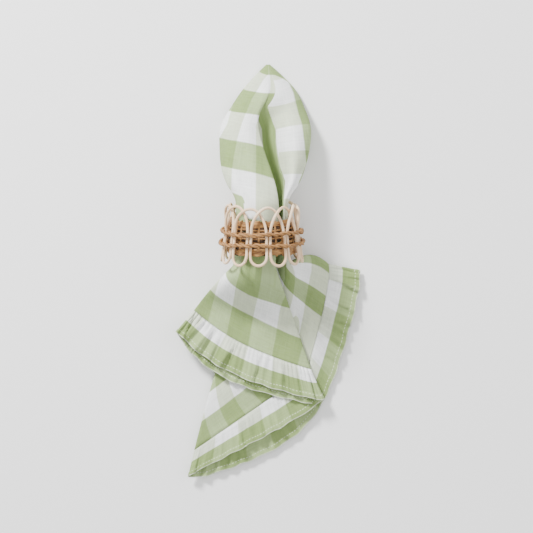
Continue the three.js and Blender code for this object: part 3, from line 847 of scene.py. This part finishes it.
def makeRod():
    pitch = 360 / ring["loops"]
    height, turnBy, first = ring["archWander"]
    points = []
    midLeg = mix(ring["bendSpring"], ring["archSpring"], 0.5)
    for loop in range(ring["loops"]):
        up = ring["firstPair"] + pitch * loop + ring["legSpread"] / 2
        down = ring["firstPair"] + pitch * (loop + 2) - ring["legSpread"] / 2
        following = ring["firstPair"] + pitch * (loop + 1) + ring["legSpread"] / 2
        wander = height * math.sin(turnBy * loop + first)
        points.append(onRing(up, midLeg, 0))
        for turn in np.linspace(0, math.pi, ring["archPoints"]):
            lean = math.sin(2 * turn)
            out = lean * (ring["risingOut"] if lean > 0 else ring["fallingIn"])
            axial = mix(ring["archSpring"], ring["leafEnd"][0] + wander, math.sin(turn))
            points.append(onRing(mix(up, down, (1 - math.cos(turn)) / 2), axial, out))
        points.append(onRing(down, midLeg, 0))
        for turn in np.linspace(0, math.pi, ring["bendPoints"]):
            axial = mix(ring["bendSpring"], ring["skirtEnd"][0] - 0.4 * wander, math.sin(turn))
            points.append(onRing(mix(down, following, (1 - math.cos(turn)) / 2), axial, 0))
    path, length = closedCurve(np.array(points), ring["loops"] * ring["rodSteps"])
    run = np.linspace(0, length, len(path), endpoint=False)
    half = ring["nodeEvery"] / 2
    toNode = np.mod(run - ring["nodeFirst"] + half, ring["nodeEvery"]) - half
    radius = (ring["rodRadius"] + drift(run, ring["rodWaves"])
              + ring["nodeHeight"] * np.exp(-(toNode / ring["nodeWide"])**2))
    wide = np.stack([radius, radius], axis=1)
    return tubeMesh("rattan_loops", [(path, wide, length, *ring["rodSection"])])


def turning(angle, waves, turns):
    # waves that close round the ring, each with its height, count and turn
    return sum(height * np.sin(count * angle + turn * turns) for height, count, turn in waves)


def makeBand():
    # flat weavers that go in and out of the stakes, none of them quite even; the inner ones
    # come first, so that the finish can tell them by their number and darken them with painted
    # shade
    low, high = ring["band"]
    inset = -(ring["rodRadius"] + ring["fallingIn"] + ring["bandGap"])
    degrees = np.linspace(0, 360, ring["weaverSteps"], endpoint=False)
    angle = np.radians(degrees)
    weaves = ring["weaves"]
    rows = [(*row, inset - ring["innerStep"], weaves["inner"]) for row in ring["innerWeavers"]]
    rows += [(*row, inset, weaves["outer"]) for row in ring["outerWeavers"]]
    tubes = []
    for number, (place, wide, out, weave) in enumerate(rows):
        turn = ring["stakes"] / 2 * angle + math.pi * number
        axial = place + turning(angle, ring["weaverWaves"], number)
        path = onRing(degrees, axial, out + weave * np.sin(turn))
        widths = wide * (1 + turning(angle, ring["weaverWidths"], number))
        halves = np.stack([np.full(len(path), ring["weaverThick"] / 2), widths], axis=1)
        tubes.append((path, halves, 2 * math.pi * ringRadius(place), *ring["flatSection"]))
    half = ring["stakeSteps"]
    # a stake is a narrow loop of its own, flattened so that it reads as one strip
    both = np.r_[np.linspace(low, high, half), np.linspace(high, low, half)]
    aside = np.repeat([-ring["stakeAside"], ring["stakeAside"]], half)
    wander, turnBy = ring["stakeWander"]
    for stake in range(ring["stakes"]):
        middle = 360 * (stake + 0.5) / ring["stakes"] + wander * math.sin(turnBy * stake)
        path = onRing(middle + aside, both, inset)
        tubes.append((path, ring["stakeHalf"], 2 * (high - low), *ring["roundSection"]))
    return tubeMesh("woven_sleeve", tubes)


def makeCords(place):
    # two plies twisted about each other, pulled in between the pairs of legs
    axial, first = ring["cords"][place]
    degrees = np.linspace(0, 360, ring["cordSteps"], endpoint=False)
    angle = np.radians(degrees)
    legs = ring["loops"] * (angle - math.radians(ring["firstPair"]))
    pull = ring["cordPull"] * (0.5 - 0.5 * np.cos(legs))
    radius = ring["plyRadius"]
    out = ring["rodRadius"] + ring["cordGap"] + 2 * radius * ring["plyOut"] - pull
    axials = axial + turning(angle, ring["cordWaves"], first)
    offset = radius * ring["plyShare"]
    tubes = []
    for ply in (0, math.pi):
        twist = ring["plyTwists"] * angle + first + ply
        path = onRing(degrees, axials + offset * np.cos(twist), out + offset * np.sin(twist))
        length = 2 * math.pi * ringRadius(axial) * ring["plyLonger"]
        tubes.append((path, (radius, radius), length, *ring["roundSection"]))
    return tubeMesh("twined_cord_" + place + "_plies", tubes)


print("ring: rod, sleeve and cords")
rod = makeRod()
sleeve = makeBand()
cords = {place: makeCords(place) for place in ring["cords"]}


finish = {
    "white": (0.83, 0.845, 0.835),
    "strongGreen": (0.36, 0.465, 0.20),  # what the strong stripes leave of the light
    "paleGreen": (0.65, 0.705, 0.51),
    "ruffleGreen": (0.37, 0.475, 0.21),
    "threads": 46.0,  # threads across one stripe
    "slub": 0.2,
    "slubAlong": 2.6,
    "bundles": 15.0,  # of threads across one stripe
    "bundleShade": 0.3,
    "bundleAlong": 1.1,
    "mottle": 0.16,
    "patches": 1.7,
    "threadHeight": 0.35,
    "weaveBump": (0.35, 0.0004),  # strength, and depth in metres
    "caneBump": (0.35, 0.0003),
    "fibreBump": (0.6, 0.0005),
    "whiteShare": 0.44,  # of the ruffle's width, next to the seam
    "rattanPale": (0.82, 0.60, 0.38),
    "rattanDark": (0.50, 0.27, 0.12),
    "rattanCloud": (0.84, 0.70, 0.54),
    "cloudShare": 0.5,
    # how fine the noises of cane and fibre are, along a strand and across it
    "caneGrain": (0.12, 26, 1),
    "caneClouds": (0.05, 0.8, 1),
    "bandFibres": (0.15, 14, 1),
    "cordFibres": (0.15, 9, 1),
    "fibrePatches": (0.09, 1.1, 1),
    "patchShare": 0.55,
    "bandLight": (0.52, 0.28, 0.09),
    "bandDark": (0.14, 0.055, 0.015),
    "cordLight": (0.50, 0.25, 0.075),
    "cordDark": (0.10, 0.04, 0.012),
    # painted shade, multiplied onto the sleeve's inner weavers
    "innerStrandPaintedShade": (0.16, 0.13, 0.10),
    "stripeEdge": (0.555, 0.495),
    "edgeWander": 0.05,
    "darkYarns": (0.5, 0.72),  # where single yarns begin to look dark, and where they fully do
    "strongYarns": (0.93, 0.14),
    "paleYarns": (0.9, 0.35),
    "ruffleYarns": (1.0, 0.12),
    "ruffleStripes": 0.75,
    "seamEdge": 0.03,
    # the row of stitches that holds the hem, and the pale turned edge past it
    "stitchLine": 0.845,
    "stitches": 60.0,
    "stitchGap": (-0.5, 0.1),
    "stitchWide": (0.016, 0.006),
    "stitchShare": 0.55,
    "stitchColour": (0.72, 0.76, 0.62),
    "hemEdge": (0.965, 0.985),
    "hemShare": 0.6,
    "hemColour": (0.74, 0.78, 0.66),
}


class NodeBoard:
    # a material's nodes, added one after another

    def __init__(self, name):
        self.material = bpy.data.materials.new(name)
        self.material.use_nodes = True
        self.tree = self.material.node_tree
        self.shader = self.tree.nodes["Principled BSDF"]

    def add(self, kind, **values):
        node = self.tree.nodes.new(kind)
        for key, value in values.items():
            setattr(node, key, value)
        return node

    def feed(self, socket, value):
        if isinstance(value, bpy.types.NodeSocket):
            self.tree.links.new(value, socket)
        else:
            socket.default_value = value

    def math(self, operation, *values):
        node = self.add("ShaderNodeMath", operation=operation)
        for socket, value in zip(node.inputs, values):
            self.feed(socket, value)
        return node.outputs[0]

    def plus(self, a, b):
        return self.math("ADD", a, b)

    def minus(self, a, b):
        return self.math("SUBTRACT", a, b)

    def times(self, a, b):
        return self.math("MULTIPLY", a, b)

    def blend(self, factor, a, b, kind="MIX"):
        node = self.add("ShaderNodeMix", data_type="RGBA", blend_type=kind)
        self.feed(node.inputs[0], factor)
        for socket, colour in ((node.inputs[6], a), (node.inputs[7], b)):
            self.feed(socket, (*colour, 1) if isinstance(colour, tuple) else colour)
        return node.outputs[2]

    def ramp(self, value, low, high, kind="SMOOTHSTEP"):
        node = self.add("ShaderNodeMapRange", interpolation_type=kind)
        self.feed(node.inputs[0], value)
        node.inputs[1].default_value = low
        node.inputs[2].default_value = high
        return node.outputs[0]

    def noise(self, vector, scale, detail=3.0, stretch=(1, 1, 1), rough=0.55):
        place = self.add("ShaderNodeMapping")
        self.feed(place.inputs["Vector"], vector)
        place.inputs["Scale"].default_value = stretch
        node = self.add("ShaderNodeTexNoise")
        self.feed(node.inputs["Vector"], place.outputs[0])
        node.inputs["Scale"].default_value = scale
        node.inputs["Detail"].default_value = detail
        node.inputs["Roughness"].default_value = rough
        return node.outputs[0]

    def flat(self):
        # the piece's own UV map, whole and as two numbers
        coords = self.add("ShaderNodeTexCoord").outputs["UV"]
        parts = self.add("ShaderNodeSeparateXYZ")
        self.feed(parts.inputs[0], coords)
        return coords, parts.outputs[0], parts.outputs[1]

    def bump(self, height, strength, distance):
        node = self.add("ShaderNodeBump")
        node.inputs["Strength"].default_value = strength
        node.inputs["Distance"].default_value = distance
        self.feed(node.inputs["Height"], height)
        self.feed(self.shader.inputs["Normal"], node.outputs[0])

    def surface(self, **values):
        for key, value in values.items():
            self.feed(self.shader.inputs[key.replace("_", " ")], value)


def yarnNoise(board, coords, across, along):
    # slubs of warp and weft: long along a yarn and narrow across it
    return (board.noise(coords, 1.0, 2.0, (across, along, 1)),
            board.noise(coords, 1.0, 2.0, (along, across, 1)))


def weaveHeight(board, u, v, warp, weft):
    # over and under of single threads, with the slubs on top
    across, along = (board.math("SINE", board.times(way, finish["threads"] * math.pi))
                     for way in (u, v))
    woven = board.times(board.times(across, along), finish["threadHeight"])
    return board.plus(woven, board.plus(warp, weft))


def stripeOf(board, coordinate, edgeNoise):
    # 1 on the even stripes and 0 on the odd ones, with the soft edge of a few mixed threads
    wave = board.math("PINGPONG", coordinate, 1.0)
    wave = board.plus(wave, board.times(edgeNoise, finish["edgeWander"]))
    return board.ramp(wave, *finish["stripeEdge"])


def yarnShare(board, yarn, least, more):
    # single dark yarns take up the colour more than the rest
    return board.plus(least, board.times(board.ramp(yarn, *finish["darkYarns"]), more))


def yarnShade(board, coords, warp, weft):
    # light and dark yarns, bundles of them, and soft patches, as a factor near 1
    along, over = yarnNoise(board, coords, finish["bundles"], finish["bundleAlong"])
    parts = [(warp, "slub"), (weft, "slub"), (along, "bundleShade"), (over, "bundleShade"),
             (board.noise(coords, finish["patches"]), "mottle")]
    total = 1.0
    for noise, amount in parts:
        total = board.plus(total, board.times(board.minus(noise, 0.5), finish[amount]))
    return total


def panelLook(board, u, v, warp, weft):
    strong = board.times(stripeOf(board, v, weft), yarnShare(board, weft, *finish["strongYarns"]))
    pale = board.times(stripeOf(board, u, warp), yarnShare(board, warp, *finish["paleYarns"]))
    colour = board.blend(strong, finish["white"], finish["strongGreen"], "MULTIPLY")
    colour = board.blend(pale, colour, finish["paleGreen"], "MULTIPLY")
    return colour, weaveHeight(board, u, v, warp, weft)


def ruffleLook(board, u, v, warp, weft, width):
    # v runs from the seam to the hem as 0 to 1
    seam, soft = finish["whiteShare"], finish["seamEdge"]
    green = board.ramp(board.plus(v, board.times(weft, soft)), seam, seam + soft)
    green = board.times(green, yarnShare(board, weft, *finish["ruffleYarns"]))
    pale = board.times(stripeOf(board, u, warp), finish["ruffleStripes"])
    line = board.math("ABSOLUTE", board.minus(v, finish["stitchLine"]))
    stitch = board.math("SINE", board.times(u, finish["stitches"]))
    stitch = board.times(board.ramp(stitch, *finish["stitchGap"]),
                         board.ramp(line, *finish["stitchWide"]))
    turned = board.times(board.ramp(v, *finish["hemEdge"]), finish["hemShare"])
    colour = board.blend(green, finish["white"], finish["ruffleGreen"], "MULTIPLY")
    colour = board.blend(pale, colour, finish["paleGreen"], "MULTIPLY")
    sewn = board.times(stitch, finish["stitchShare"])
    colour = board.blend(sewn, colour, finish["stitchColour"])
    colour = board.blend(turned, colour, finish["hemColour"])
    return colour, board.minus(weaveHeight(board, u, board.times(v, width), warp, weft), stitch)


def clothFinish(name, ruffled):
    board = NodeBoard(name)
    coords, u, v = board.flat()
    if ruffled:
        # the ruffle's width in checks, to give its threads the panel's size
        width = ruffle["width"] * cloth["stripes"] / cloth["flatSide"]
        stretch = board.add("ShaderNodeCombineXYZ")
        board.feed(stretch.inputs[0], u)
        board.feed(stretch.inputs[1], board.times(v, width))
        coords = stretch.outputs[0]
    warp, weft = yarnNoise(board, coords, finish["threads"], finish["slubAlong"])
    shade = yarnShade(board, coords, warp, weft)
    if ruffled:
        colour, height = ruffleLook(board, u, v, warp, weft, width)
    else:
        colour, height = panelLook(board, u, v, warp, weft)
    grey = board.add("ShaderNodeCombineColor")
    for socket in grey.inputs[:3]:
        board.feed(socket, shade)
    colour = board.blend(1.0, colour, grey.outputs[0], "MULTIPLY")
    board.surface(Base_Color=colour, Roughness=0.88, Sheen_Weight=0.03, Sheen_Roughness=0.5,
                  Specular_IOR_Level=0.25)
    board.bump(height, *finish["weaveBump"])
    return board.material


def caneFinish():
    board = NodeBoard("rattanCane")
    coords, _, _ = board.flat()
    grain = board.noise(coords, 1.0, 3.0, finish["caneGrain"])
    cloudy = board.noise(coords, 1.0, 2.0, finish["caneClouds"])
    colour = board.blend(board.ramp(grain, 0.35, 0.8), finish["rattanPale"], finish["rattanDark"])
    cloudy = board.times(board.ramp(cloudy, 0.4, 0.7), finish["cloudShare"])
    colour = board.blend(cloudy, colour, finish["rattanCloud"])
    board.surface(Base_Color=colour, Roughness=board.ramp(grain, -1.2, 1.6, "LINEAR"),
                  Coat_Weight=0.12, Coat_Roughness=0.3)
    board.bump(grain, *finish["caneBump"])
    return board.material


def fibreFinish(name, light, dark, fine, paintedShadeStrands):
    # the first strands, as many as the count says, are the inner ones, darkened with painted
    # shade
    board = NodeBoard(name)
    coords, _, v = board.flat()
    fibres = board.noise(coords, 1.0, 4.0, finish[fine], 0.65)
    patches = board.noise(coords, 1.0, 2.0, finish["fibrePatches"])
    colour = board.blend(board.ramp(fibres, 0.3, 0.7), dark, light)
    patches = board.times(board.ramp(patches, 0.45, 0.75), finish["patchShare"])
    colour = board.blend(patches, colour, dark)
    if paintedShadeStrands:
        # painted shade: the inner strands are multiplied darker
        inner = board.math("LESS_THAN", v, float(paintedShadeStrands))
        colour = board.blend(inner, colour, finish["innerStrandPaintedShade"], "MULTIPLY")
    board.surface(Base_Color=colour, Roughness=board.ramp(fibres, -1.4, 1.4, "LINEAR"))
    board.bump(fibres, *finish["fibreBump"])
    return board.material


print("finishes")
# the band's finish paints shade onto its inner weavers
band = fibreFinish("brownFibrePaintedShade", finish["bandLight"], finish["bandDark"], "bandFibres",
                   len(ring["innerWeavers"]))
twisted = fibreFinish("twistedFibre", finish["cordLight"], finish["cordDark"], "cordFibres", 0)
stands = [
    (panel, "napkin_panel", "panel_cloth", clothFinish("ginghamCotton", False)),
    (ruffleStrip, "napkin_ruffle", "ruffle_cloth", clothFinish("ruffleCotton", True)),
    (rod, "rattan_rod", "rattan", caneFinish()),
    (sleeve, "woven_band", "band_fibre", band),
    (cords["upper"], "twined_cord_upper", "cord_fibre", twisted),
    (cords["lower"], "twined_cord_lower", "cord_fibre", twisted),
]
for piece, node, slot, material in stands:
    piece.data.materials.append(material)
    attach(piece, "root")
    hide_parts(node)


stage = {
    "floor": (0.93, 0.93, 0.93),
    "floorPatches": (0.8, 0.8, 0.8),
    "patchShare": 0.04,
    "floorWide": 6,
    "middle": (-0.0006, 0.005),  # what the camera looks down on
    "frameWide": 0.4157,
    "cameraHeight": 3.0,
    "sensor": 36.0,
    "world": 0.86,
    "lampAim": (0, 0, 0.02),
    "lamps": [
        # name, place, size, power
        ("keyLamp", (-0.72, 1.0, 0.9), 0.3, 52.0),
        ("sideLamp", (1.0, 0.1, 0.9), 0.9, 5.0),
        ("topLamp", (0.1, -0.2, 1.7), 1.4, 8.0),
    ],
}


def makeStage():
    bpy.ops.mesh.primitive_plane_add(size=stage["floorWide"], location=(0, 0, 0))
    floor = bpy.context.object
    floor.name = "studioFloor"
    board = NodeBoard("studioFloorFinish")
    coords = board.add("ShaderNodeTexCoord").outputs["Object"]
    faint = board.noise(coords, 3.0, 2.0)
    tint = board.blend(board.times(faint, stage["patchShare"]), stage["floor"],
                       stage["floorPatches"])
    board.surface(Base_Color=tint, Roughness=0.7)
    floor.data.materials.append(board.material)
    world = bpy.data.worlds.new("studioWorld")
    world.use_nodes = True
    sky = world.node_tree.nodes["Background"]
    sky.inputs[0].default_value = (1, 1, 1, 1)
    sky.inputs[1].default_value = stage["world"]
    bpy.context.scene.world = world
    for name, place, size, power in stage["lamps"]:
        light = bpy.data.lights.new(name, "AREA")
        light.size = size
        light.energy = power
        lamp = linked(name, light)
        lamp.location = place
        way = Vector(stage["lampAim"]) - lamp.location
        lamp.rotation_euler = way.to_track_quat("-Z", "Y").to_euler()


def makeCamera():
    eye = bpy.data.cameras.new("overheadCamera")
    eye.sensor_width = stage["sensor"]
    eye.lens = stage["sensor"] * stage["cameraHeight"] / stage["frameWide"]
    eye.clip_end = 20
    camera = linked("overheadCamera", eye)
    camera.location = (*stage["middle"], stage["cameraHeight"])
    bpy.context.scene.camera = camera


print("stage")
makeStage()
makeCamera()
